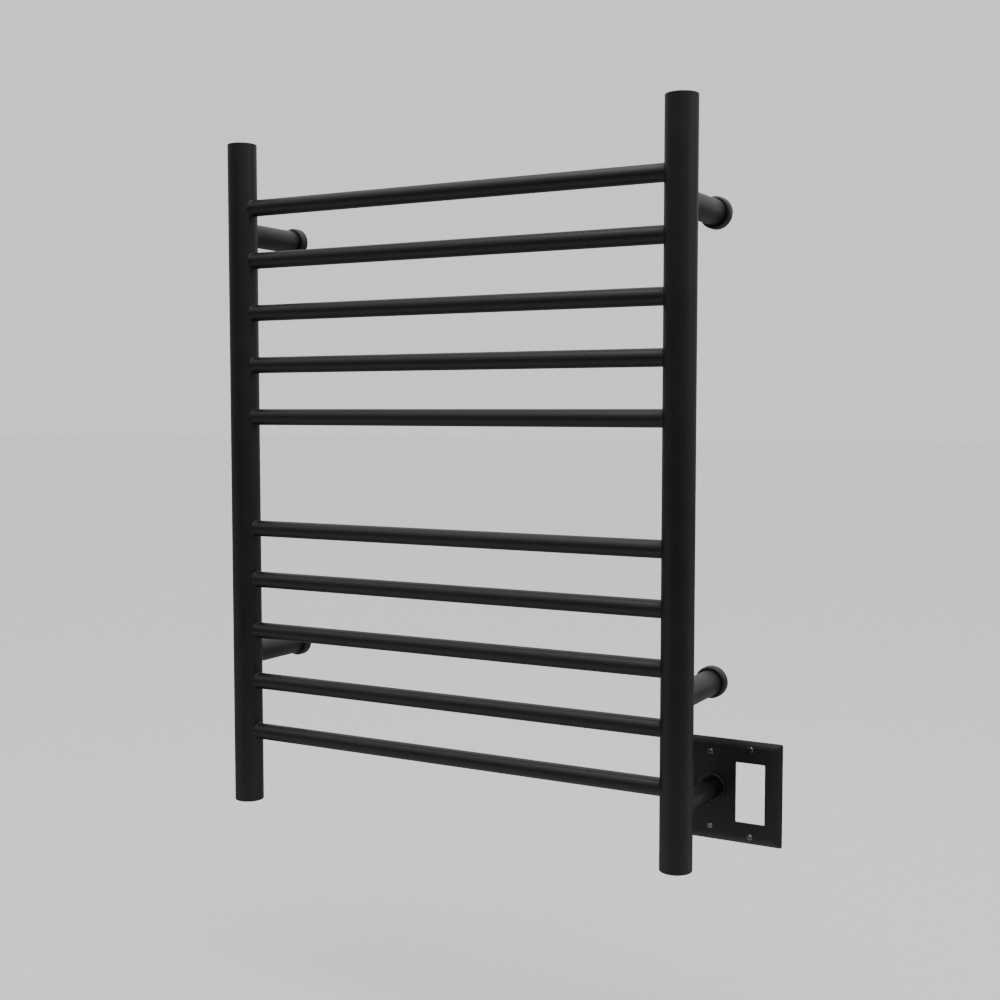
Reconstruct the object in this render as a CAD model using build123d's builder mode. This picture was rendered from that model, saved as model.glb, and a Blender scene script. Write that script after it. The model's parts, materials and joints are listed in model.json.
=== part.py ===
"""Hard-wired towel warmer rack: ten round bars between two posts, on four wall standoffs.

Frame: +Z up, +X to the right as seen from the room, +Y into the wall. The origin is the centre of the
rectangle of the four wall fixings, on the wall face, so the rack stands out along -Y.
All sizes are in millimetres.
"""

import math
import os

from build123d import *

os.makedirs("parts", exist_ok=True)

# ---- driving sizes -------------------------------------------------------------------------------

# Overall
rack_height = 800.0  # a post with its two caps
rack_width = 600.0  # over the outsides of the posts
post_reach = 106.0  # wall face to the axis of the posts and bars

# Posts and their caps
post_dia = 35.0
post_wall = 1.5
cap_lid = 1.5
cap_edge_round = 1.0
cap_spigot_length = 8.0

# Bars, in two equal groups with a wide gap between them
bar_dia = 19.5
bar_wall = 1.0
bars_in_group = 5
top_bar_drop = 77.0  # post top to the axis of the top bar
bottom_bar_rise = 86.7  # post bottom to the axis of the lowest bar
group_gap = 135.5  # axis to axis, from the last bar of one group to the first of the next
bar_entry = 3.0  # how far a bar's end stands inside the wall of the post

# Standoffs, which slide over the spigots of the wall brackets
standoff_dia = 28.0
standoff_wall = 2.0
standoff_below_bar = 29.7  # a standoff's axis below the bar over it
upper_standoff_bar = 0  # counted from the top bar
lower_standoff_bar = 7

# Wall brackets
flange_lip = 3.6  # how far the flange stands out round the standoff
flange_thickness = 10.7
flange_round = 3.0
spigot_length = 20.0
bracket_pocket_dia = 13.0
bracket_web = 4.0  # what the wall screw clamps
wall_screw_hole_dia = 5.5
wall_screw_head_dia = 10.5

# Grub screws that lock the standoffs to the spigots
grub_dia = 5.0
grub_length = 4.0
grub_socket = 2.5  # across flats
grub_socket_depth = 2.0
grub_from_flange = 10.0
grub_sunk = 0.3

# Conduit from the right post into the wall box
conduit_dia = 22.0
conduit_wall = 1.5
conduit_below_bar = 23.5  # conduit axis below the axis of the lowest bar
conduit_past_wall = 4.0

# Bush, nut and grommet round the conduit: the bush has a nose along the conduit and a dished lip
bush_lip = 7.5
bush_lip_thickness = 2.0
bush_rim = 2.0  # width of the raised rim round the dish
bush_rim_round = 0.9
bush_dish_depth = 1.0
bush_nose_length = 8.0
bush_nose_wall = 1.0
bush_wall = 2.0
lock_nut_rim = 3.0
lock_nut_thickness = 3.0
grommet_bore_dia = 10.0
grommet_length = 8.0
grommet_lip = 1.2

# Double-gang wall plate: standard gang spacing, screw spacings and rocker opening
plate_width = 115.9
plate_height = 114.3
plate_depth = 5.8
plate_wall = 2.2
plate_rim = 1.6  # height of the upright edge before the bevel starts
plate_bevel = 7.5
plate_corner_round = 2.0
plate_face_round = 4.0
gang_spacing = 46.04
conduit_gang_screws = 83.34
control_gang_screws = 96.84
control_opening_width = 33.3
control_opening_height = 66.7
control_opening_round = 0.8

# Plate screws
screw_dia = 3.5
screw_head_dia = 6.6
screw_head_dome = 0.8
screw_dome_slope = 45.0
screw_neck_dia = 2.9  # plain neck between the head and the thread
screw_thread_lead = 1.0  # the thread starts this far in front of the wall
screw_hole_gap = 0.1  # round a screw in the plate, on the radius
screw_slot_width = 1.1
screw_slot_depth = 1.0
screw_past_wall = 9.0
screw_cone_angle = 82.0

# Heating cable and the crimp sleeves at its two ends
cable_dia = 4.0
cable_turn_radius = 20.0
cable_turn_past_axis = 4.0  # where the cable runs up or down inside a post
cable_return_past_axis = 12.0  # the run back down the right post
cable_return_rise = 40.0  # above the lowest bar, where that run leans towards the conduit
cable_return_radius = 60.0
cable_end_straight = 2.0  # between the two bends at each end
cable_pair_spacing = 8.4  # the two ends, side by side in the conduit
cable_end_from_wall = 38.0
sleeve_dia = 6.4
sleeve_length = 28.0
sleeve_overlap = 12.0  # how far a cable end reaches into its sleeve
lead_bore_dia = 3.2

# Clearances
weld_gap = 0.05  # between pieces that are welded or screwed together
slide_gap = 0.08  # standoff over spigot and bush over conduit, on the radius
body_gap = 0.3  # between pieces that come apart

# ---- worked out from them ------------------------------------------------------------------------

post_r = post_dia / 2
post_bore_r = post_r - post_wall
post_x = rack_width / 2 - post_r
post_y = -post_reach

bar_r = bar_dia / 2
bar_bore_r = bar_r - bar_wall
bar_steps = 2 * (bars_in_group - 1)
bar_pitch = (rack_height - top_bar_drop - bottom_bar_rise - group_gap) / bar_steps
bar_drops = []
for bar in range(2 * bars_in_group):
    group = bar // bars_in_group
    bar_drops.append(top_bar_drop + (bar - group) * bar_pitch + group * group_gap)

upper_standoff_drop = bar_drops[upper_standoff_bar] + standoff_below_bar
lower_standoff_drop = bar_drops[lower_standoff_bar] + standoff_below_bar
standoff_spacing = lower_standoff_drop - upper_standoff_drop
post_top = (upper_standoff_drop + lower_standoff_drop) / 2
post_bottom = post_top - rack_height
bar_heights = [post_top - drop for drop in bar_drops]
standoff_places = {
    "upper_left": (-post_x, standoff_spacing / 2),
    "upper_right": (post_x, standoff_spacing / 2),
    "lower_left": (-post_x, -standoff_spacing / 2),
    "lower_right": (post_x, -standoff_spacing / 2),
}

standoff_r = standoff_dia / 2
standoff_bore_r = standoff_r - standoff_wall
standoff_end = flange_thickness + body_gap
flange_r = standoff_r + flange_lip
spigot_r = standoff_bore_r - slide_gap
spigot_end = flange_thickness + spigot_length
grub_from_wall = flange_thickness + grub_from_flange
grub_outer = standoff_r - grub_sunk
grub_tip = grub_outer - grub_length
grub_flat = grub_tip - body_gap

conduit_r = conduit_dia / 2
conduit_bore_r = conduit_r - conduit_wall
conduit_x = post_x
conduit_z = bar_heights[-1] - conduit_below_bar

bush_bore_r = conduit_r + slide_gap
bush_barrel_r = bush_bore_r + bush_wall
bush_nose_r = bush_bore_r + bush_nose_wall
bush_flange_r = conduit_r + bush_lip
bush_nose_end = plate_depth + bush_lip_thickness + bush_nose_length
bush_barrel_end = plate_depth - plate_wall - lock_nut_thickness - 2 * weld_gap

plate_inner_bevel = plate_bevel + plate_wall / 2
plate_x = conduit_x + gang_spacing / 2
control_x = conduit_x + gang_spacing
plate_z = conduit_z
screw_cone_depth = (screw_head_dia - screw_dia) / 2 / math.tan(math.radians(screw_cone_angle / 2))


def wall_plane(x, z, out=0.0):
    """A plane parallel to the wall that faces the room, its own x along +X and its own y along +Z."""
    return Plane(origin=(x, -out, z), x_dir=(1, 0, 0), z_dir=(0, -1, 0))


def along_x_plane(x, z):
    """A plane across a bar, facing +X, centred on the axis of the bar at that height."""
    return Plane(origin=(x, post_y, z), x_dir=(0, 1, 0), z_dir=(1, 0, 0))


# ---- posts ---------------------------------------------------------------------------------------


def make_post(name, side, has_conduit):
    """A post tube with a hole for each bar, cut through its inner side only."""
    axis_x = side * post_x
    with BuildPart() as post:
        with BuildSketch(Plane(origin=(axis_x, post_y, post_bottom + cap_lid))):
            Circle(post_r)
            Circle(post_bore_r, mode=Mode.SUBTRACT)
        extrude(amount=rack_height - 2 * cap_lid)
        for height in bar_heights:
            with BuildSketch(along_x_plane(axis_x, height)):
                Circle(bar_r + weld_gap)
            extrude(amount=-side * post_dia, mode=Mode.SUBTRACT)
        if has_conduit:
            with BuildSketch(wall_plane(conduit_x, conduit_z, post_reach)):
                Circle(conduit_bore_r)
            extrude(amount=-post_dia, mode=Mode.SUBTRACT)
    post.part.label = name
    export_step(post.part, f"parts/{name}.step")


make_post("left_post", -1, has_conduit=False)
make_post("right_post", 1, has_conduit=True)


def make_post_cap(name, side, end):
    """A lid with a spigot that plugs one end of a post; end is 1 at the top and -1 at the bottom."""
    face_z = post_top if end > 0 else post_bottom
    outside = Plane(origin=(side * post_x, post_y, face_z), z_dir=(0, 0, end))
    with BuildPart() as cap:
        with BuildSketch(outside):
            Circle(post_r)
        extrude(amount=-cap_lid)
        fillet(cap.edges().sort_by(Axis.Z)[-1 if end > 0 else 0], radius=cap_edge_round)
        with BuildSketch(outside.offset(-cap_lid)):
            Circle(post_bore_r - weld_gap)
        extrude(amount=-cap_spigot_length)
    cap.part.label = name
    export_step(cap.part, f"parts/{name}.step")


for side_name, side in (("left", -1), ("right", 1)):
    make_post_cap(f"{side_name}_top_cap", side, 1)
    make_post_cap(f"{side_name}_bottom_cap", side, -1)

# ---- bars ----------------------------------------------------------------------------------------

bar_end_x = post_x - post_bore_r + bar_entry

for number, height in enumerate(bar_heights, start=1):
    with BuildPart() as crossbar:
        with BuildSketch(along_x_plane(-bar_end_x, height)):
            Circle(bar_r)
            Circle(bar_bore_r, mode=Mode.SUBTRACT)
        extrude(amount=2 * bar_end_x)
    crossbar.part.label = f"crossbar_{number}"
    export_step(crossbar.part, f"parts/crossbar_{number}.step")

# ---- standoffs and wall brackets -----------------------------------------------------------------

for place, (x, z) in standoff_places.items():
    with BuildPart() as standoff:
        with BuildSketch(wall_plane(x, z, standoff_end)):
            Circle(standoff_r)
            Circle(standoff_bore_r, mode=Mode.SUBTRACT)
        extrude(amount=post_reach - standoff_end)
        with BuildSketch(Plane(origin=(x, post_y, z - standoff_dia))):
            Circle(post_r + weld_gap)
        extrude(amount=2 * standoff_dia, mode=Mode.SUBTRACT)
        with BuildSketch(Plane(origin=(x, -grub_from_wall, z), z_dir=(0, 0, -1))):
            Circle(grub_dia / 2 + weld_gap)
        extrude(amount=standoff_dia, mode=Mode.SUBTRACT)
    standoff.part.label = f"{place}_standoff"
    export_step(standoff.part, f"parts/{place}_standoff.step")

    with BuildPart() as bracket:
        with BuildSketch(wall_plane(x, z)):
            Circle(flange_r)
        extrude(amount=flange_thickness)
        fillet(bracket.edges().sort_by(Axis.Y)[0], radius=flange_round)
        with BuildSketch(wall_plane(x, z, flange_thickness)):
            Circle(spigot_r)
            with Locations((0, -grub_flat - spigot_r)):
                Rectangle(2 * spigot_r, 2 * spigot_r, mode=Mode.SUBTRACT)
        extrude(amount=spigot_length)
        with BuildSketch(wall_plane(x, z, spigot_end)):
            Circle(bracket_pocket_dia / 2)
        extrude(amount=bracket_web - spigot_end, mode=Mode.SUBTRACT)
        with Locations(wall_plane(x, z, bracket_web)):
            CounterSinkHole(wall_screw_hole_dia / 2, wall_screw_head_dia / 2, depth=bracket_web)
    bracket.part.label = f"{place}_wall_bracket"
    export_step(bracket.part, f"parts/{place}_wall_bracket.step")

with BuildPart() as grub_screws:
    for x, z in standoff_places.values():
        grub_end = Plane(origin=(x, -grub_from_wall, z - grub_outer), z_dir=(0, 0, -1))
        with BuildSketch(grub_end):
            Circle(grub_dia / 2)
        extrude(amount=-grub_length)
        with BuildSketch(grub_end):
            RegularPolygon(grub_socket / 2, 6, major_radius=False)
        extrude(amount=-grub_socket_depth, mode=Mode.SUBTRACT)
grub_screws.part.label = "grub_screws"
export_step(grub_screws.part, "parts/grub_screws.step")

# ---- conduit -------------------------------------------------------------------------------------

with BuildPart() as conduit:
    with BuildSketch(wall_plane(conduit_x, conduit_z, -conduit_past_wall)):
        Circle(conduit_r)
        Circle(conduit_bore_r, mode=Mode.SUBTRACT)
    extrude(amount=conduit_past_wall + post_reach)
    with BuildSketch(Plane(origin=(conduit_x, post_y, conduit_z - conduit_dia))):
        Circle(post_r + weld_gap)
    extrude(amount=2 * conduit_dia, mode=Mode.SUBTRACT)
conduit.part.label = "conduit"
export_step(conduit.part, "parts/conduit.step")

with BuildPart() as conduit_grommet:
    with BuildSketch(wall_plane(conduit_x, conduit_z, -conduit_past_wall)):
        Circle(conduit_bore_r - weld_gap)
        Circle(grommet_bore_dia / 2, mode=Mode.SUBTRACT)
    extrude(amount=grommet_length)
    with BuildSketch(wall_plane(conduit_x, conduit_z, -conduit_past_wall)):
        Circle(conduit_r)
        Circle(grommet_bore_dia / 2, mode=Mode.SUBTRACT)
    extrude(amount=-grommet_lip)
conduit_grommet.part.label = "conduit_grommet"
export_step(conduit_grommet.part, "parts/conduit_grommet.step")

with BuildPart() as conduit_bush:
    with BuildSketch(wall_plane(conduit_x, conduit_z, plate_depth)):
        Circle(bush_flange_r)
    extrude(amount=bush_lip_thickness)
    fillet(conduit_bush.edges().sort_by(Axis.Y)[0], radius=bush_rim_round)
    with BuildSketch(wall_plane(conduit_x, conduit_z, plate_depth + bush_lip_thickness)):
        Circle(bush_flange_r - bush_rim)
    extrude(amount=-bush_dish_depth, mode=Mode.SUBTRACT)
    with BuildSketch(wall_plane(conduit_x, conduit_z, plate_depth)):
        Circle(bush_nose_r)
    extrude(amount=bush_nose_end - plate_depth)
    with BuildSketch(wall_plane(conduit_x, conduit_z, plate_depth)):
        Circle(bush_barrel_r)
    extrude(amount=bush_barrel_end - plate_depth)
    with BuildSketch(wall_plane(conduit_x, conduit_z)):
        Circle(bush_bore_r)
    extrude(amount=bush_nose_end, mode=Mode.SUBTRACT)
conduit_bush.part.label = "conduit_bush"
export_step(conduit_bush.part, "parts/conduit_bush.step")

with BuildPart() as bush_lock_nut:
    with BuildSketch(wall_plane(conduit_x, conduit_z, plate_depth - plate_wall - weld_gap)):
        RegularPolygon(bush_barrel_r + lock_nut_rim, 6, major_radius=False)
        Circle(bush_barrel_r + weld_gap, mode=Mode.SUBTRACT)
    extrude(amount=-lock_nut_thickness)
bush_lock_nut.part.label = "bush_lock_nut"
export_step(bush_lock_nut.part, "parts/bush_lock_nut.step")

# ---- wall plate ----------------------------------------------------------------------------------

screw_places = []
for gang_x, spread in ((conduit_x, conduit_gang_screws), (control_x, control_gang_screws)):
    screw_places.append((gang_x, plate_z + spread / 2))
    screw_places.append((gang_x, plate_z - spread / 2))


with BuildPart() as wall_plate:
    with BuildSketch(wall_plane(plate_x, plate_z)):
        RectangleRounded(plate_width, plate_height, plate_corner_round)
    extrude(amount=plate_rim)
    for out, inset in ((plate_rim, 0), (plate_depth, plate_bevel)):
        with BuildSketch(wall_plane(plate_x, plate_z, out)):
            RectangleRounded(plate_width - 2 * inset, plate_height - 2 * inset, plate_corner_round)
    loft()
    fillet(wall_plate.edges().group_by(Axis.Y)[0], radius=plate_face_round)
    for out, inset in ((0, plate_wall), (plate_depth - plate_wall, plate_inner_bevel)):
        with BuildSketch(wall_plane(plate_x, plate_z, out)):
            RectangleRounded(plate_width - 2 * inset, plate_height - 2 * inset, plate_corner_round)
    loft(mode=Mode.SUBTRACT)
    with BuildSketch(wall_plane(control_x, plate_z)):
        RectangleRounded(control_opening_width, control_opening_height, control_opening_round)
    extrude(amount=plate_depth, mode=Mode.SUBTRACT)
    with BuildSketch(wall_plane(conduit_x, plate_z)):
        Circle(bush_barrel_r + weld_gap)
    extrude(amount=plate_depth, mode=Mode.SUBTRACT)
    for x, z in screw_places:
        with Locations(wall_plane(x, z, plate_depth)):
            CounterSinkHole(
                screw_dia / 2 + screw_hole_gap,
                screw_head_dia / 2 + weld_gap,
                depth=plate_depth,
                counter_sink_angle=screw_cone_angle,
            )
wall_plate.part.label = "wall_plate"
export_step(wall_plate.part, "parts/wall_plate.step")

with BuildPart() as plate_screws:
    for x, z in screw_places:
        face = wall_plane(x, z, plate_depth)
        with BuildSketch(face):
            Circle(screw_neck_dia / 2)
        extrude(amount=screw_thread_lead - plate_depth)
        with BuildSketch(wall_plane(x, z, screw_thread_lead)):
            Circle(screw_dia / 2)
        extrude(amount=-screw_thread_lead - screw_past_wall)
        with BuildSketch(face):
            Circle(screw_head_dia / 2)
        with BuildSketch(face.offset(-screw_cone_depth)):
            Circle(screw_dia / 2)
        loft()
        with BuildSketch(face):
            Circle(screw_head_dia / 2)
        extrude(amount=screw_head_dome, taper=screw_dome_slope)
        with BuildSketch(face.offset(screw_head_dome)):
            Rectangle(screw_head_dia, screw_slot_width)
        extrude(amount=-screw_slot_depth, mode=Mode.SUBTRACT)
plate_screws.part.label = "plate_screws"
export_step(plate_screws.part, "parts/plate_screws.step")

# ---- heating cable -------------------------------------------------------------------------------

turn_x = post_x + cable_turn_past_axis
return_x = post_x + cable_return_past_axis
first_end_x = conduit_x - cable_pair_spacing / 2
last_end_x = conduit_x + cable_pair_spacing / 2
cable_drop = cable_dia  # both ends run this far under the conduit axis, to ease the bend into the post
end_z = conduit_z - cable_drop
end_radius = (bar_heights[-1] - end_z - cable_end_straight) / 2

corners = [
    (first_end_x, post_y, end_z),
    (first_end_x, post_y, bar_heights[-1]),
]
radii = [end_radius, end_radius]
side = -1
for lower, upper in zip(reversed(bar_heights[1:]), reversed(bar_heights[:-1])):
    corners.append((side * turn_x, post_y, lower))
    corners.append((side * turn_x, post_y, upper))
    radii += [cable_turn_radius, cable_turn_radius]
    side = -side
corners.append((return_x, post_y, bar_heights[0]))
radii.append(cable_turn_radius)
corners.append((return_x, post_y, bar_heights[-1] + cable_return_rise))
radii.append(cable_return_radius)
corners.append((last_end_x, post_y, end_z))
radii.append(end_radius)

with BuildPart() as heating_cable:
    with BuildLine() as route:
        FilletPolyline(
            (first_end_x, -cable_end_from_wall, end_z),
            *corners,
            (last_end_x, -cable_end_from_wall, end_z),
            radius=radii,
        )
    with BuildSketch(Plane(origin=route.line @ 0, z_dir=route.line % 0)):
        Circle(cable_dia / 2)
    sweep(path=route.line)
heating_cable.part.label = "heating_cable"
export_step(heating_cable.part, "parts/heating_cable.step")

with BuildPart() as crimp_sleeves:
    for x in (first_end_x, last_end_x):
        cable_side = wall_plane(x, end_z, cable_end_from_wall + sleeve_overlap)
        with BuildSketch(cable_side):
            Circle(sleeve_dia / 2)
        extrude(amount=-sleeve_length)
        with BuildSketch(cable_side):
            Circle(cable_dia / 2 + weld_gap)
        extrude(amount=-sleeve_overlap, mode=Mode.SUBTRACT)
        with BuildSketch(cable_side):
            Circle(lead_bore_dia / 2)
        extrude(amount=-sleeve_length, mode=Mode.SUBTRACT)
crimp_sleeves.part.label = "crimp_sleeves"
export_step(crimp_sleeves.part, "parts/crimp_sleeves.step")

cable_length = route.wire().length
cable_volume = math.pi * cable_dia**2 / 4 * cable_length
print(f"heating cable: {cable_length:.0f} mm long, bend radii {sorted(set(round(r, 1) for r in radii))}")
print(f"volume over section times length: {heating_cable.part.volume / cable_volume:.5f}")
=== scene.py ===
"""Looks of the towel warmer rack: coated tubes with weld fillets, wall brackets, conduit and wall plate."""
import json
from math import pi, radians

import bpy
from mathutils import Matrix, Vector


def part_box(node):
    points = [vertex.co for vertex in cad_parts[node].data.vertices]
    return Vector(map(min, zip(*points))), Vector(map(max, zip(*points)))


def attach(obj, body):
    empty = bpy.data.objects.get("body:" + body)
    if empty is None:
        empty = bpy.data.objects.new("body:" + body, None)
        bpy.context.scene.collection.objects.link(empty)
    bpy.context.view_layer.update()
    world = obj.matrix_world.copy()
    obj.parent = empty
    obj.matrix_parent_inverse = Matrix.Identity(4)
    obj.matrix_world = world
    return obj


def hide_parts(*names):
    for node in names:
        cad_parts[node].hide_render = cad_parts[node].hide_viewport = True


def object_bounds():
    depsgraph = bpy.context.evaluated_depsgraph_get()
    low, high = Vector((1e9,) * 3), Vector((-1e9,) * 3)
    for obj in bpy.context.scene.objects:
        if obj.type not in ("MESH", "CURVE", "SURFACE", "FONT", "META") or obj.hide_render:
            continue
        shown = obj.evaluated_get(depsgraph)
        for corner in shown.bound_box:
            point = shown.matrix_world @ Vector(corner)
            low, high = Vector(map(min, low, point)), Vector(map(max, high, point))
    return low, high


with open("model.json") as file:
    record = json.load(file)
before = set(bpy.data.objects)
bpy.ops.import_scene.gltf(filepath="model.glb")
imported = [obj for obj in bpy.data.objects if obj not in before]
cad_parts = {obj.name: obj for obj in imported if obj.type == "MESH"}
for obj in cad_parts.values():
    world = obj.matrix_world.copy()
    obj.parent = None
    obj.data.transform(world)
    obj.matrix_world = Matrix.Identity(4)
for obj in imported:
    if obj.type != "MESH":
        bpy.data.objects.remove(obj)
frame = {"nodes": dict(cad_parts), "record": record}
CAD_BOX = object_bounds()
NODES = frame["nodes"]
MM = 0.001
QUARTER = pi / 2

# ---- camera --------------------------------------------------------------------------------------

CAMERA_PLACE = (0.8126, -1.4477, 0.0441)
CAMERA_YAW = 28.88
CAMERA_TILT = -3.72
CAMERA_LENS = 50.17

camera_data = bpy.data.cameras.new("camera")
camera_data.lens = CAMERA_LENS
camera = bpy.data.objects.new("camera", camera_data)
camera.location = CAMERA_PLACE
camera.rotation_euler = (radians(90 + CAMERA_TILT), 0, radians(CAMERA_YAW))
bpy.context.scene.collection.objects.link(camera)
bpy.context.scene.camera = camera

# ---- light ---------------------------------------------------------------------------------------


def soft_light(name, place, aim, size, power):
    """A rectangular area light at place, turned to face aim."""
    data = bpy.data.lights.new(name, "AREA")
    data.shape = "RECTANGLE"
    data.size, data.size_y = size
    data.energy = power
    light = bpy.data.objects.new(name, data)
    light.location = place
    light.rotation_euler = (Vector(aim) - Vector(place)).to_track_quat("-Z", "Y").to_euler()
    bpy.context.scene.collection.objects.link(light)
    return light


soft_light("overhead_light", (0.3, -0.45, 1.7), (0.1, -0.1, 0), (1.8, 1.4), 13)
soft_light("right_light", (2.4, 0.1, 0.9), (0.2, -0.1, 0), (1.8, 1.8), 4)


def wire(tree, *pairs):
    """Links each (from socket, to socket) pair of a node tree."""
    for start, end in pairs:
        tree.links.new(start, end)


def node(tree, kind, **settings):
    """A new shader node of that kind with its own properties and, by name or number, its input values."""
    made = tree.nodes.new("ShaderNode" + kind)
    inputs = settings.pop("inputs", {})
    for key, value in settings.items():
        setattr(made, key, value)
    for key, value in inputs.items():
        made.inputs[key].default_value = value
    return made


def remap(tree, start, stop, low=0, high=1):
    """A node that takes start to stop onto low to high."""
    return node(tree, "MapRange",
                inputs={"From Min": start, "From Max": stop, "To Min": low, "To Max": high})


def ramp(tree, stops):
    """A grey colour ramp through the (place, brightness) stops."""
    made = node(tree, "ValToRGB")
    elements = made.color_ramp.elements
    while len(elements) < len(stops):
        elements.new(0.5)
    for element, (place, grey) in zip(elements, stops):
        element.position = place
        element.color = (grey, grey, grey, 1)
    return made


BACKDROP_GREY = 0.97
BEHIND = (-0.49, 0.87, 0)  # the way that the camera looks
BESIDE = (0.988, 0.154, 0)  # to the right of the rack
TOWARDS_ROOM = (0.49, -0.87, 0)
SKY = ((0.0, 0.10), (0.40, 0.07), (0.50, 0.105), (0.67, 0.36), (0.84, 1.0), (0.96, 1.4), (1.0, 1.4))

world = bpy.data.worlds.new("studio")
world.use_nodes = True
sky_tree = world.node_tree
background = sky_tree.nodes["Background"]
heading = node(sky_tree, "TexCoord")
parts = node(sky_tree, "SeparateXYZ")
height = remap(sky_tree, -1, 1)
dome = ramp(sky_tree, SKY)
behind = node(sky_tree, "VectorMath", operation="DOT_PRODUCT", inputs={1: BEHIND})
behind_glow = remap(sky_tree, 0.1, 1, high=0.45)
beside = node(sky_tree, "VectorMath", operation="DOT_PRODUCT", inputs={1: BESIDE})
beside_glow = remap(sky_tree, -0.1, 0.6, high=0.17)
shade_behind = remap(sky_tree, 0, 0.8, low=1, high=0.6)
shaded_dome = node(sky_tree, "Math", operation="MULTIPLY")
glow = node(sky_tree, "Math", operation="ADD")
dome_light = node(sky_tree, "Math", operation="ADD")
sight = node(sky_tree, "LightPath")
seen = node(sky_tree, "Mix", data_type="FLOAT", inputs={3: BACKDROP_GREY})
wire(sky_tree,
     (heading.outputs["Generated"], parts.inputs[0]), (parts.outputs["Z"], height.inputs["Value"]),
     (height.outputs["Result"], dome.inputs["Fac"]),
     (heading.outputs["Generated"], behind.inputs[0]), (behind.outputs["Value"], behind_glow.inputs["Value"]),
     (heading.outputs["Generated"], beside.inputs[0]), (beside.outputs["Value"], beside_glow.inputs["Value"]),
     (behind_glow.outputs["Result"], glow.inputs[0]), (beside_glow.outputs["Result"], glow.inputs[1]),
     (behind.outputs["Value"], shade_behind.inputs["Value"]),
     (dome.outputs["Color"], shaded_dome.inputs[0]), (shade_behind.outputs["Result"], shaded_dome.inputs[1]),
     (shaded_dome.outputs["Value"], dome_light.inputs[0]), (glow.outputs["Value"], dome_light.inputs[1]),
     (sight.outputs["Is Camera Ray"], seen.inputs[0]), (dome_light.outputs["Value"], seen.inputs[2]),
     (seen.outputs[0], background.inputs["Color"]))
bpy.context.scene.world = world

# ---- floor ---------------------------------------------------------------------------------------

FLOOR_SIZE = 60
FLOOR_DROP = 0.25  # under the foot of the posts
FLOOR_GREY = 0.92

bpy.ops.mesh.primitive_plane_add(size=FLOOR_SIZE, location=(0, 0, CAD_BOX[0].z - FLOOR_DROP))
floor = bpy.context.object
floor.name = "floor"

floor_paint = bpy.data.materials.new("floor_paint")
floor_paint.use_nodes = True
floor_tree = floor_paint.node_tree
floor_shader = floor_tree.nodes["Principled BSDF"]
floor_shader.inputs["Roughness"].default_value = 0.95
floor_shader.inputs["Specular IOR Level"].default_value = 0.1
# The camera sees the floor evenly pale. Every other ray sees a painted pool of light on it: a pale band just
# in front of the rack, dimmer behind it, and dark further into the room. This band lights the rack and shows
# in its reflections.
floor_place = node(floor_tree, "TexCoord")
floor_far = node(floor_tree, "VectorMath", operation="DOT_PRODUCT", inputs={1: TOWARDS_ROOM})
floor_reach = remap(floor_tree, -2, 2.5)
floor_painted_light = ramp(floor_tree, ((0.0, 0.18), (0.38, 0.24), (0.48, 0.50), (0.60, 0.45), (0.93, 0.06)))
floor_sight = node(floor_tree, "LightPath")
floor_seen = node(floor_tree, "Mix", data_type="FLOAT", inputs={3: FLOOR_GREY})
wire(floor_tree,
     (floor_place.outputs["Object"], floor_far.inputs[0]),
     (floor_far.outputs["Value"], floor_reach.inputs["Value"]),
     (floor_reach.outputs["Result"], floor_painted_light.inputs["Fac"]),
     (floor_sight.outputs["Is Camera Ray"], floor_seen.inputs[0]),
     (floor_painted_light.outputs["Color"], floor_seen.inputs[2]),
     (floor_seen.outputs[0], floor_shader.inputs["Base Color"]))
floor.data.materials.append(floor_paint)

# ---- shared effects ------------------------------------------------------------------------------


def effect(name, inputs, outputs):
    """An empty shader node group with those inputs, as (name, default value), and value outputs, by name."""
    group = bpy.data.node_groups.new(name, "ShaderNodeTree")
    for label, value in inputs:
        socket = group.interface.new_socket(label, in_out="INPUT", socket_type="NodeSocketFloat")
        socket.default_value = value
    for label in outputs:
        group.interface.new_socket(label, in_out="OUTPUT", socket_type="NodeSocketFloat")
    return group, group.nodes.new("NodeGroupInput"), group.nodes.new("NodeGroupOutput")


def use(tree, group, **values):
    """That node group placed in a material, with its own input values."""
    made = node(tree, "Group", node_tree=group)
    for label, value in values.items():
        made.inputs[label.replace("_", " ")].default_value = value
    return made


def coat_skin_effect():
    """The skin of a baked powder coat: rounded orange peel with a finer grain on it."""
    scales = (("Peel per metre", 420), ("Grain per metre", 1900), ("Grain share", 0.35))
    group, start, end = effect("coat_skin", scales, ("Height", "Tone"))
    place = node(group, "TexCoord")
    peel_place = node(group, "VectorMath", operation="SCALE")
    grain_place = node(group, "VectorMath", operation="SCALE")
    peel = node(group, "TexNoise", inputs={"Scale": 1, "Detail": 1.5, "Roughness": 0.45})
    grain = node(group, "TexVoronoi", feature="SMOOTH_F1", inputs={"Scale": 1, "Smoothness": 0.8})
    cloud = node(group, "TexNoise", inputs={"Scale": 23, "Detail": 4, "Roughness": 0.6})
    height = node(group, "Mix", data_type="FLOAT")
    wire(group,
         (place.outputs["Object"], peel_place.inputs[0]),
         (start.outputs["Peel per metre"], peel_place.inputs["Scale"]),
         (place.outputs["Object"], grain_place.inputs[0]),
         (start.outputs["Grain per metre"], grain_place.inputs["Scale"]),
         (peel_place.outputs[0], peel.inputs["Vector"]), (grain_place.outputs[0], grain.inputs["Vector"]),
         (place.outputs["Object"], cloud.inputs["Vector"]),
         (start.outputs["Grain share"], height.inputs[0]), (peel.outputs["Fac"], height.inputs[2]),
         (grain.outputs["Distance"], height.inputs[3]),
         (height.outputs[0], end.inputs["Height"]), (cloud.outputs["Fac"], end.inputs["Tone"]))
    return group


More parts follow.
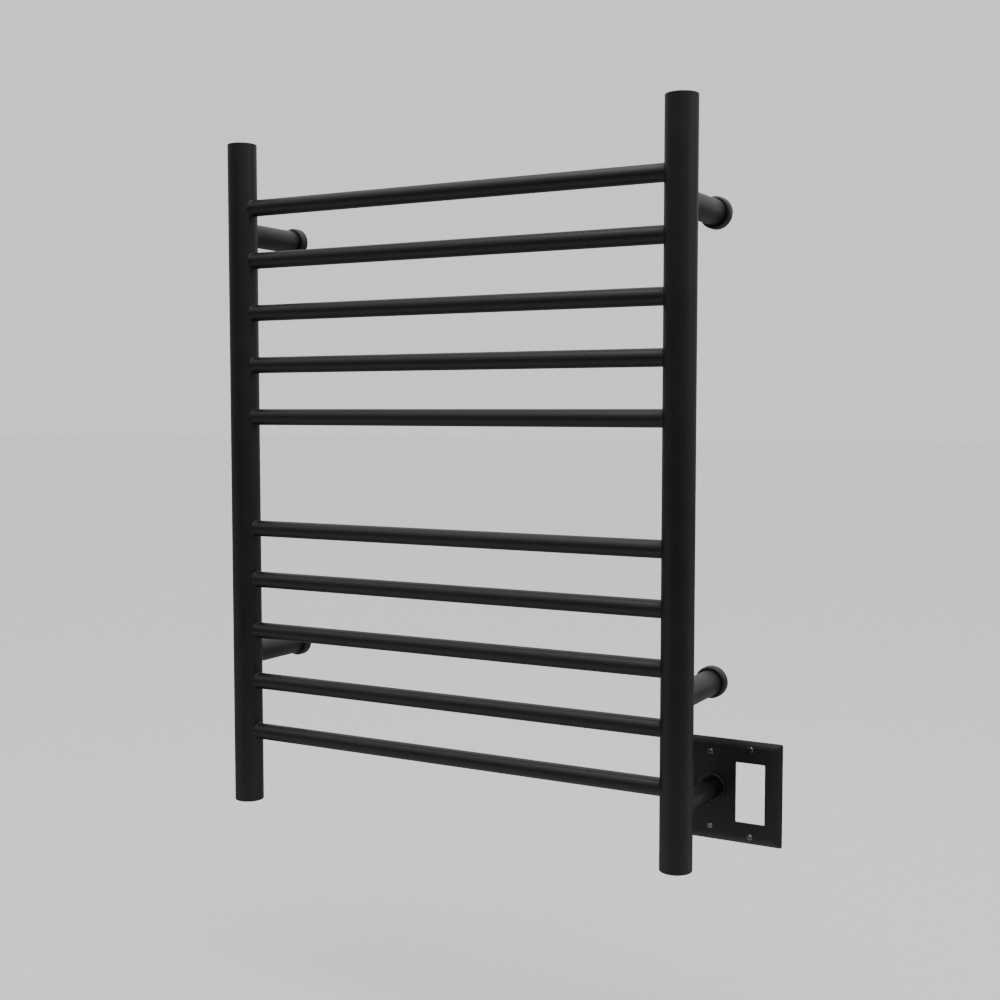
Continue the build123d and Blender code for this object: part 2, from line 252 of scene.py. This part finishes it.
def settled_dust_effect():
    """Fine dust that lies on what faces up, thicker in some places than in others."""
    group, start, end = effect("settled_dust", (("Amount", 0.1), ("Patches per metre", 60)), ("Dust",))
    place = node(group, "TexCoord")
    patch_place = node(group, "VectorMath", operation="SCALE")
    patches = node(group, "TexNoise", inputs={"Scale": 1, "Detail": 6, "Roughness": 0.7})
    facing = node(group, "NewGeometry")
    facing_parts = node(group, "SeparateXYZ")
    upward = remap(group, 0.35, 1)
    patchy = remap(group, 0.3, 0.8)
    lying = node(group, "Math", operation="MULTIPLY")
    dust = node(group, "Math", operation="MULTIPLY", use_clamp=True)
    wire(group,
         (place.outputs["Object"], patch_place.inputs[0]),
         (start.outputs["Patches per metre"], patch_place.inputs["Scale"]),
         (patch_place.outputs[0], patches.inputs["Vector"]), (patches.outputs["Fac"], patchy.inputs["Value"]),
         (facing.outputs["Normal"], facing_parts.inputs[0]),
         (facing_parts.outputs["Z"], upward.inputs["Value"]),
         (upward.outputs["Result"], lying.inputs[0]), (patchy.outputs["Result"], lying.inputs[1]),
         (lying.outputs[0], dust.inputs[0]), (start.outputs["Amount"], dust.inputs[1]),
         (dust.outputs[0], end.inputs["Dust"]))
    return group


def cloth_polish_effect():
    """Long faint streaks along X, where towels have slid over the bars and left the coat smoother."""
    scales = (("Along per metre", 9), ("Across per metre", 260))
    group, start, end = effect("cloth_polish", scales, ("Streak",))
    place = node(group, "TexCoord")
    parts = node(group, "SeparateXYZ")
    along = node(group, "Math", operation="MULTIPLY")
    across = node(group, "Math", operation="MULTIPLY")
    across_up = node(group, "Math", operation="MULTIPLY")
    stretched = node(group, "CombineXYZ")
    streaks = node(group, "TexNoise", inputs={"Scale": 1, "Detail": 4, "Roughness": 0.6})
    wire(group,
         (place.outputs["Object"], parts.inputs[0]),
         (parts.outputs["X"], along.inputs[0]), (start.outputs["Along per metre"], along.inputs[1]),
         (parts.outputs["Y"], across.inputs[0]), (start.outputs["Across per metre"], across.inputs[1]),
         (parts.outputs["Z"], across_up.inputs[0]), (start.outputs["Across per metre"], across_up.inputs[1]),
         (along.outputs[0], stretched.inputs["X"]), (across.outputs[0], stretched.inputs["Y"]),
         (across_up.outputs[0], stretched.inputs["Z"]), (stretched.outputs[0], streaks.inputs["Vector"]),
         (streaks.outputs["Fac"], end.inputs["Streak"]))
    return group


COAT_SKIN = coat_skin_effect()
SETTLED_DUST = settled_dust_effect()
CLOTH_POLISH = cloth_polish_effect()

# ---- materials -----------------------------------------------------------------------------------
# A Mix node's sockets: 0 is its factor, 2 and 3 its two values, 6 and 7 its two colours.

DUST_TONE = (0.30, 0.29, 0.27)
MOULDED_DUST = 0.05


def finish_shader(name, **sockets):
    """A new material with its Principled shader's own values set."""
    material = bpy.data.materials.new(name)
    material.use_nodes = True
    tree = material.node_tree
    shader = tree.nodes["Principled BSDF"]
    for label, value in sockets.items():
        shader.inputs[label.replace("_", " ")].default_value = value
    return material, tree, shader


def spread(tree, source, low, high, start=0.3, stop=0.7):
    """A value from low to high as source goes from start to stop."""
    made = remap(tree, start, stop, low, high)
    wire(tree, (source, made.inputs["Value"]))
    return made.outputs["Result"]


def tint(tree, mask, low, high):
    """A colour from low, where mask is 0, to high, where it is 1."""
    made = node(tree, "Mix", data_type="RGBA")
    made.inputs[6].default_value = (*low, 1)
    made.inputs[7].default_value = (*high, 1)
    wire(tree, (mask, made.inputs[0]))
    return made.outputs[2]


def add(tree, first, second):
    made = node(tree, "Math", operation="ADD")
    wire(tree, (first, made.inputs[0]), (second, made.inputs[1]))
    return made.outputs[0]


def relief(tree, height, strength, distance, shader):
    """A bump of that strength and depth on the shader's normal."""
    made = node(tree, "Bump", inputs={"Strength": strength, "Distance": distance})
    wire(tree, (height, made.inputs["Height"]), (made.outputs["Normal"], shader.inputs["Normal"]))


def dusted(tree, film, paint):
    """The paint's colour under its film of dust."""
    made = node(tree, "Mix", data_type="RGBA")
    made.inputs[7].default_value = (*DUST_TONE, 1)
    wire(tree, (film.outputs["Dust"], made.inputs[0]), (paint, made.inputs[6]))
    return made.outputs[2]


def powder_coat(name, dark, pale, rough, peel, depth, dust, streaks=0.0):
    """Baked powder coat: two close tones, orange peel, dust on top and, on tubes, faint cloth streaks."""
    material, tree, shader = finish_shader(name, Specular_IOR_Level=0.5)
    skin = use(tree, COAT_SKIN, Peel_per_metre=peel)
    film = use(tree, SETTLED_DUST, Amount=dust)
    paint = tint(tree, spread(tree, skin.outputs["Tone"], 0, 1), dark, pale)
    wire(tree, (dusted(tree, film, paint), shader.inputs["Base Color"]))
    gloss = spread(tree, skin.outputs["Tone"], rough - 0.03, rough + 0.03)
    if streaks:
        polish = use(tree, CLOTH_POLISH)
        gloss = add(tree, gloss, spread(tree, polish.outputs["Streak"], -streaks, streaks))
    gloss = add(tree, gloss, spread(tree, film.outputs["Dust"], 0, 0.3, 0, 1))
    wire(tree, (gloss, shader.inputs["Roughness"]))
    relief(tree, skin.outputs["Height"], 0.35, depth, shader)
    return material


def moulded(name, dark, pale, rough, grain, depth, **sockets):
    """A moulded plastic or rubber with a fine mould grain."""
    material, tree, shader = finish_shader(name, **sockets)
    skin = use(tree, COAT_SKIN, Peel_per_metre=grain * 0.35, Grain_per_metre=grain, Grain_share=0.6)
    film = use(tree, SETTLED_DUST, Amount=MOULDED_DUST)
    body = tint(tree, spread(tree, skin.outputs["Tone"], 0, 1), dark, pale)
    wire(tree, (dusted(tree, film, body), shader.inputs["Base Color"]))
    wire(tree, (spread(tree, skin.outputs["Tone"], rough - 0.05, rough + 0.05), shader.inputs["Roughness"]))
    relief(tree, skin.outputs["Height"], 0.4, depth, shader)
    return material


def plated(name, dark, pale, rough, depth):
    """Turned and plated or blackened steel: bare metal with a faint grain."""
    material, tree, shader = finish_shader(name, Metallic=1.0)
    skin = use(tree, COAT_SKIN, Peel_per_metre=900, Grain_per_metre=3500)
    metal = tint(tree, spread(tree, skin.outputs["Tone"], 0, 1), dark, pale)
    wire(tree, (metal, shader.inputs["Base Color"]),
         (spread(tree, skin.outputs["Height"], rough - 0.08, rough + 0.08), shader.inputs["Roughness"]))
    relief(tree, skin.outputs["Height"], 0.3, depth, shader)
    return material


FINISHES = {
    "black_powder_coat": powder_coat("black_powder_coat", (0.0045, 0.0045, 0.0047), (0.0065, 0.0065, 0.0067),
                                     0.40, 420, 0.00004, 0.010, streaks=0.02),
    "bracket_coat": powder_coat("bracket_coat", (0.0045, 0.0045, 0.0047), (0.0068, 0.0068, 0.0070),
                                0.40, 480, 0.00004, 0.010),
    "plate_coat": powder_coat("plate_coat", (0.0060, 0.0060, 0.0062), (0.0078, 0.0078, 0.0080),
                              0.42, 520, 0.00003, 0.006),
    "black_nickel": plated("black_nickel", (0.15, 0.15, 0.155), (0.21, 0.21, 0.215), 0.17, 0.00001),
    "bush_nylon": moulded("bush_nylon", (0.0026, 0.0026, 0.0027), (0.0036, 0.0036, 0.0037),
                          0.29, 1400, 0.00001, Specular_IOR_Level=0.55),
    "grommet_rubber": moulded("grommet_rubber", (0.012, 0.012, 0.012), (0.022, 0.022, 0.021),
                              0.72, 1000, 0.00004, Specular_IOR_Level=0.35),
    "silicone_cable": moulded("silicone_cable", (0.40, 0.045, 0.03), (0.50, 0.06, 0.04), 0.45, 700, 0.00003,
                              Subsurface_Weight=0.05),
    "sleeve_nylon": moulded("sleeve_nylon", (0.62, 0.42, 0.06), (0.72, 0.50, 0.09), 0.38, 900, 0.00003),
    "zinc_plated_steel": plated("zinc_plated_steel", (0.56, 0.57, 0.58), (0.66, 0.67, 0.68), 0.30, 0.00003),
    "black_oxide_steel": plated("black_oxide_steel", (0.045, 0.045, 0.05), (0.075, 0.075, 0.08),
                                0.42, 0.00002),
}

for part in frame["record"]["subparts"]:
    cad = NODES[part["node"]]
    cad.data.materials.clear()
    cad.data.materials.append(FINISHES[part["material_slot"]])

# ---- making pieces -------------------------------------------------------------------------------

RING = 72  # points round each tube


def pick(piece):
    """Only this piece selected and active."""
    bpy.ops.object.select_all(action="DESELECT")
    piece.select_set(True)
    bpy.context.view_layer.objects.active = piece


def settle(piece):
    """The piece's place and turn go into its mesh."""
    pick(piece)
    bpy.ops.object.transform_apply(location=True, rotation=True, scale=True)


def added(name):
    piece = bpy.context.object
    piece.name = piece.data.name = name
    return piece


def apply(piece, kind, **settings):
    """Adds a modifier of that kind and applies it."""
    modifier = piece.modifiers.new(kind.lower(), kind)
    for key, value in settings.items():
        setattr(modifier, key, value)
    pick(piece)
    bpy.ops.object.modifier_apply(modifier=modifier.name)


def outward(piece, merge=True):
    """Doubles merged and every face turned outwards."""
    pick(piece)
    bpy.ops.object.mode_set(mode="EDIT")
    bpy.ops.mesh.select_all(action="SELECT")
    if merge:
        bpy.ops.mesh.remove_doubles(threshold=0.000001)
    bpy.ops.mesh.normals_make_consistent(inside=False)
    bpy.ops.object.mode_set(mode="OBJECT")


def rod(name, radius, depth, centre, turn=(QUARTER, 0, 0), vertices=48):
    """A cylinder of that radius and depth round the centre, along Y unless it is turned otherwise."""
    bpy.ops.object.select_all(action="DESELECT")
    bpy.ops.mesh.primitive_cylinder_add(vertices=vertices, radius=radius, depth=depth,
                                        location=centre, rotation=turn)
    return added(name)


def rings(name, profile):
    """A shell round the X axis: a circle at the first (x, radius), extruded and scaled to the others."""
    bpy.ops.object.select_all(action="DESELECT")
    x, radius = profile[0]
    bpy.ops.mesh.primitive_circle_add(vertices=RING, radius=radius,
                                      location=(x, 0, 0), rotation=(0, QUARTER, 0))
    piece = added(name)
    settle(piece)
    bpy.ops.object.mode_set(mode="EDIT")
    bpy.ops.mesh.select_all(action="SELECT")
    for next_x, next_radius in profile[1:]:
        bpy.ops.mesh.extrude_edges_move(TRANSFORM_OT_translate={"value": (next_x - x, 0, 0)})
        if next_radius != radius:
            share = next_radius / radius
            bpy.ops.transform.resize(value=(1, share, share), center_override=(next_x, 0, 0))
        x, radius = next_x, next_radius
    bpy.ops.object.mode_set(mode="OBJECT")
    return piece


def saddle(piece, rings_on):
    """Slides rings along X onto upright cylinders at the origin: {ring number: its cylinder's radius}."""
    for ring, radius in rings_on.items():
        form = rod("saddle_form", radius, 0.2, (0, 0, 0), turn=(0, 0, 0.003), vertices=360)
        group = piece.vertex_groups.new(name="ring")
        group.add(list(range(ring * RING, (ring + 1) * RING)), 1, "REPLACE")
        apply(piece, "SHRINKWRAP", target=form, vertex_group="ring", wrap_method="PROJECT",
              use_project_x=True, use_negative_direction=True, use_positive_direction=True)
        piece.vertex_groups.clear()
        bpy.data.objects.remove(form)


def fillet(radius, post, leg):
    """The rings of a weld fillet between a tube and a post, and the cylinders that they lie on."""
    steps = ((1.0, -0.05 * MM), (0.62, 0.12 * leg), (0.30, 0.34 * leg), (0.10, 0.64 * leg), (0.0, leg))
    return ([(post + 0.5 * MM + rise, radius + share * leg) for share, rise in steps],
            [post + rise for _, rise in steps])


def cut(piece, cutter):
    """Cuts the cutter's shape out of the piece and throws the cutter away."""
    apply(piece, "BOOLEAN", object=cutter, operation="DIFFERENCE", solver="EXACT")
    bpy.data.objects.remove(cutter)


def smooth(piece, angle):
    pick(piece)
    bpy.ops.object.shade_smooth_by_angle(angle=radians(angle))


def twin(piece, name, shift):
    """A copy with its own mesh, moved by shift."""
    copy = piece.copy()
    copy.data = piece.data.copy()
    copy.name = copy.data.name = name
    bpy.context.scene.collection.objects.link(copy)
    copy.location = shift
    settle(copy)
    return copy


def dress(piece, cad_node, body, slot):
    """The piece stands for its CAD node, rides on its body and takes the slot's finish."""
    piece.data.materials.clear()
    piece.data.materials.append(FINISHES[slot])
    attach(piece, body)
    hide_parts(cad_node)


def middle(cad_node):
    low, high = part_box(cad_node)
    return (low + high) / 2


# ---- crossbars -----------------------------------------------------------------------------------

POST_RADIUS = 17.5 * MM
POST_REACH = -middle("crossbar_1").y
POST_OUT = middle("right_post").x
COAT = "black_powder_coat"
BAR_RADIUS, BAR_BORE = 9.75 * MM, 8.75 * MM
BAR_WELD = 0.8 * MM
BAR_ENTRY = 3.2 * MM  # how far a bar's end stands inside the outside of the post
TUCK = 0.6 * MM  # how far a weld starts under the skin of the post


def crossbar():
    """Half a bar from its bore out to the weld fillet on the post, then mirrored."""
    weld, weld_on = fillet(BAR_RADIUS, POST_RADIUS, BAR_WELD)
    inside = POST_RADIUS - BAR_ENTRY
    under = POST_RADIUS - TUCK
    piece = rings("bar_blank", [(POST_OUT, BAR_BORE), (inside, BAR_BORE), (inside, BAR_RADIUS),
                                (under, BAR_RADIUS), *weld, (POST_RADIUS + 8 * MM, BAR_RADIUS),
                                (POST_OUT, BAR_RADIUS)])
    on = {1: inside, 2: inside, 3: under}
    on.update({4 + n: r for n, r in enumerate(weld_on)})
    saddle(piece, on)
    piece.location = (-POST_OUT, 0, 0)
    settle(piece)
    apply(piece, "MIRROR", merge_threshold=0.00001)
    outward(piece)
    smooth(piece, 40)
    return piece


bar_blank = crossbar()
for number in range(1, 11):
    cad_node = f"crossbar_{number}"
    bar = twin(bar_blank, f"bar_{number}", (0, -POST_REACH, middle(cad_node).z))
    dress(bar, cad_node, "rack", COAT)
bpy.data.objects.remove(bar_blank)

# ---- standoffs and conduit -----------------------------------------------------------------------


def arm(name, radius, bore, length, leg):
    """A tube along Y, from a weld fillet on the back of the post to a rounded open end."""
    weld, weld_on = fillet(radius, POST_RADIUS, leg)
    edge = 0.5 * MM
    lip = min(edge, (radius - bore) / 3)
    piece = rings(name, [(length - edge, bore), (POST_RADIUS, bore), *weld,
                         (POST_RADIUS + 12 * MM, radius), (length - edge, radius),
                         (length - 0.3 * edge, radius - 0.3 * lip), (length, radius - lip),
                         (length, bore + lip), (length - 0.3 * edge, bore + 0.3 * lip),
                         (length - edge, bore)])
    on = {1: POST_RADIUS - 0.3 * MM}
    on.update({2 + n: r for n, r in enumerate(weld_on)})
    saddle(piece, on)
    outward(piece)
    piece.rotation_euler = (0, 0, QUARTER)
    settle(piece)
    return piece


STANDOFF_RADIUS, STANDOFF_BORE = 14 * MM, 12 * MM
STANDOFF_WELD = 1.1 * MM
STANDOFF_END = 11 * MM  # from the wall to the open end
GRUB_FROM_WALL = 20.7 * MM
GRUB_HOLE_RADIUS = 2.55 * MM
CONDUIT_RADIUS, CONDUIT_BORE = 11 * MM, 9.5 * MM
CONDUIT_WELD = 1.0 * MM
CONDUIT_PAST_WALL = 4 * MM

standoff_blank = arm("standoff_blank", STANDOFF_RADIUS, STANDOFF_BORE, POST_REACH - STANDOFF_END,
                     STANDOFF_WELD)
cut(standoff_blank, rod("grub_cutter", GRUB_HOLE_RADIUS, 8 * MM, (0, POST_REACH - GRUB_FROM_WALL, -13 * MM),
                        turn=(0, 0, 0), vertices=40))
smooth(standoff_blank, 40)
for side in ("left", "right"):
    for level in ("upper", "lower"):
        place = f"{level}_{side}"
        foot = middle(f"{place}_standoff")
        standoff = twin(standoff_blank, f"{place}_arm", (foot.x, -POST_REACH, foot.z))
        dress(standoff, f"{place}_standoff", "rack", COAT)
bpy.data.objects.remove(standoff_blank)

conduit_foot = middle("conduit")
conduit_tube = arm("conduit_tube", CONDUIT_RADIUS, CONDUIT_BORE, POST_REACH + CONDUIT_PAST_WALL,
                   CONDUIT_WELD)
smooth(conduit_tube, 40)
conduit_tube.location = (conduit_foot.x, -POST_REACH, conduit_foot.z)
settle(conduit_tube)
dress(conduit_tube, "conduit", "rack", COAT)

# ---- wall plate ----------------------------------------------------------------------------------

PLATE_LOW, PLATE_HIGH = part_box("wall_plate")
PLATE_MID = (PLATE_LOW + PLATE_HIGH) / 2
PLATE_DEPTH = -PLATE_LOW.y
HALF_GANG = 23.02 * MM  # from the plate's middle to the middle of each gang
SCREW_PLACES = [(dx, dz * MM) for dx, half in ((-HALF_GANG, 41.67), (HALF_GANG, 48.42))
                for dz in (-half, half)]
OPENING_WIDTH, OPENING_HEIGHT = 33.3 * MM, 66.7 * MM
OPENING_ROUND = 0.8 * MM
BUSH_HOLE_RADIUS = 13.13 * MM
SCREW_HOLE_RADIUS = 1.85 * MM
PLATE_RIM = 1.1 * MM  # the upright edge before the margin rolls over
PLATE_MARGIN = 9.0 * MM
PLATE_CORNER = 1.8 * MM
HOLLOW_WALL = 4.4 * MM  # both side walls together, at the wall
HOLLOW_FACE_WALL = 19 * MM  # and at the bottom of the hollow
HOLLOW_DEPTH = 3.6 * MM


def block(name, size, centre):
    """A box of that size round the centre."""
    bpy.ops.object.select_all(action="DESELECT")
    bpy.ops.mesh.primitive_cube_add(size=1, location=centre)
    piece = added(name)
    piece.scale = size
    settle(piece)
    return piece


def pick_faces(piece, test):
    """Edit mode on the piece with only the faces that pass the test selected."""
    pick(piece)
    bpy.ops.object.mode_set(mode="EDIT")
    bpy.ops.mesh.select_mode(type="FACE")
    bpy.ops.mesh.select_all(action="DESELECT")
    bpy.ops.object.mode_set(mode="OBJECT")
    for face in piece.data.polygons:
        face.select = test(face)
    bpy.ops.object.mode_set(mode="EDIT")


def pick_edges(piece, test):
    """Edit mode on the piece with only the edges that pass the test, of their two ends, selected."""
    pick(piece)
    bpy.ops.object.mode_set(mode="EDIT")
    bpy.ops.mesh.select_mode(type="EDGE")
    bpy.ops.mesh.select_all(action="DESELECT")
    bpy.ops.object.mode_set(mode="OBJECT")
    for edge in piece.data.edges:
        edge.select = test(*(piece.data.vertices[v].co for v in edge.vertices))
    bpy.ops.object.mode_set(mode="EDIT")


def same_corner(a, b):
    """Whether two points are at the same corner of the plate."""
    return (a.x - PLATE_MID.x) * (b.x - PLATE_MID.x) > 0 and (a.z - PLATE_MID.z) * (b.z - PLATE_MID.z) > 0


def pressed_plate():
    """A pressed plate: an upright rim, a margin that rolls over into the flat face, and a hollow back."""
    width, tall = PLATE_HIGH.x - PLATE_LOW.x, PLATE_HIGH.z - PLATE_LOW.z
    bpy.ops.object.select_all(action="DESELECT")
    bpy.ops.mesh.primitive_plane_add(size=1, location=(PLATE_MID.x, 0, PLATE_MID.z), rotation=(QUARTER, 0, 0))
    piece = added("cover_plate")
    piece.scale = (width, tall, 1)
    settle(piece)
    bpy.ops.object.mode_set(mode="EDIT")
    bpy.ops.mesh.select_all(action="SELECT")
    bpy.ops.mesh.extrude_region_move(TRANSFORM_OT_translate={"value": (0, -PLATE_RIM, 0)})
    drop = PLATE_DEPTH - 1.5 * MM
    steps = [(0.12 * MM, 0.28 * MM), (0.22 * MM, 0.12 * MM)]
    inward = sum(step[0] for step in steps)
    depth = PLATE_RIM + sum(step[1] for step in steps)
    for n in range(1, 12):
        share = n / 11
        to_inward = 0.34 * MM + (PLATE_MARGIN - 0.34 * MM) * share
        to_depth = PLATE_DEPTH - drop * (1 - share) ** 2.0
        steps.append((to_inward - inward, to_depth - depth))
        inward, depth = to_inward, to_depth
    steps.append((0.6 * MM, 0))
    for inset, rise in steps:
        bpy.ops.mesh.inset(thickness=inset, depth=rise, use_even_offset=True)
    bpy.ops.object.mode_set(mode="OBJECT")
    pick_edges(piece, lambda a, b: same_corner(a, b) and min(-a.y, -b.y) < PLATE_DEPTH - 0.02 * MM)
    bpy.ops.mesh.bevel(offset=PLATE_CORNER, segments=5)
    bpy.ops.object.mode_set(mode="OBJECT")
    outward(piece, merge=False)

    hollow_width, hollow_tall = width - HOLLOW_WALL, tall - HOLLOW_WALL
    hollow = block("hollow_cutter", (hollow_width, 4.6 * MM, hollow_tall),
                   (PLATE_MID.x, -1.3 * MM, PLATE_MID.z))
    pick_faces(hollow, lambda face: face.normal.y < -0.5)
    narrower = (width - HOLLOW_FACE_WALL) / hollow_width, (tall - HOLLOW_FACE_WALL) / hollow_tall
    bpy.ops.transform.resize(value=(narrower[0], 1, narrower[1]),
                             center_override=(PLATE_MID.x, -HOLLOW_DEPTH, PLATE_MID.z))
    bpy.ops.object.mode_set(mode="OBJECT")
    cut(piece, hollow)

    opening = block("opening_cutter", (OPENING_WIDTH, 30 * MM, OPENING_HEIGHT),
                    (PLATE_MID.x + HALF_GANG, -5 * MM, PLATE_MID.z))
    pick_edges(opening, lambda a, b: abs(a.y - b.y) > 10 * MM)
    bpy.ops.mesh.bevel(offset=OPENING_ROUND, segments=4)
    bpy.ops.object.mode_set(mode="OBJECT")
    cut(piece, opening)

    bush_foot = middle("conduit_bush")
    cut(piece, rod("bush_cutter", BUSH_HOLE_RADIUS, 30 * MM, (bush_foot.x, -5 * MM, bush_foot.z),
                   vertices=96))
    for dx, dz in SCREW_PLACES:
        x, z = PLATE_MID.x + dx, PLATE_MID.z + dz
        bpy.ops.object.select_all(action="DESELECT")
        bpy.ops.mesh.primitive_cone_add(vertices=48, radius1=3.66 * MM, radius2=SCREW_HOLE_RADIUS,
                                        depth=2.08 * MM, location=(x, -PLATE_DEPTH + 0.74 * MM, z),
                                        rotation=(-QUARTER, 0, 0))
        cut(piece, added("seat_cutter"))
        cut(piece, rod("screw_hole_cutter", SCREW_HOLE_RADIUS, 20 * MM, (x, -4 * MM, z)))
    apply(piece, "BEVEL", width=0.3 * MM, segments=2, limit_method="ANGLE", angle_limit=radians(38))
    smooth(piece, 40)
    apply(piece, "WEIGHTED_NORMAL", keep_sharp=True, weight=70)
    return piece


dress(pressed_plate(), "wall_plate", "cover", "plate_coat")
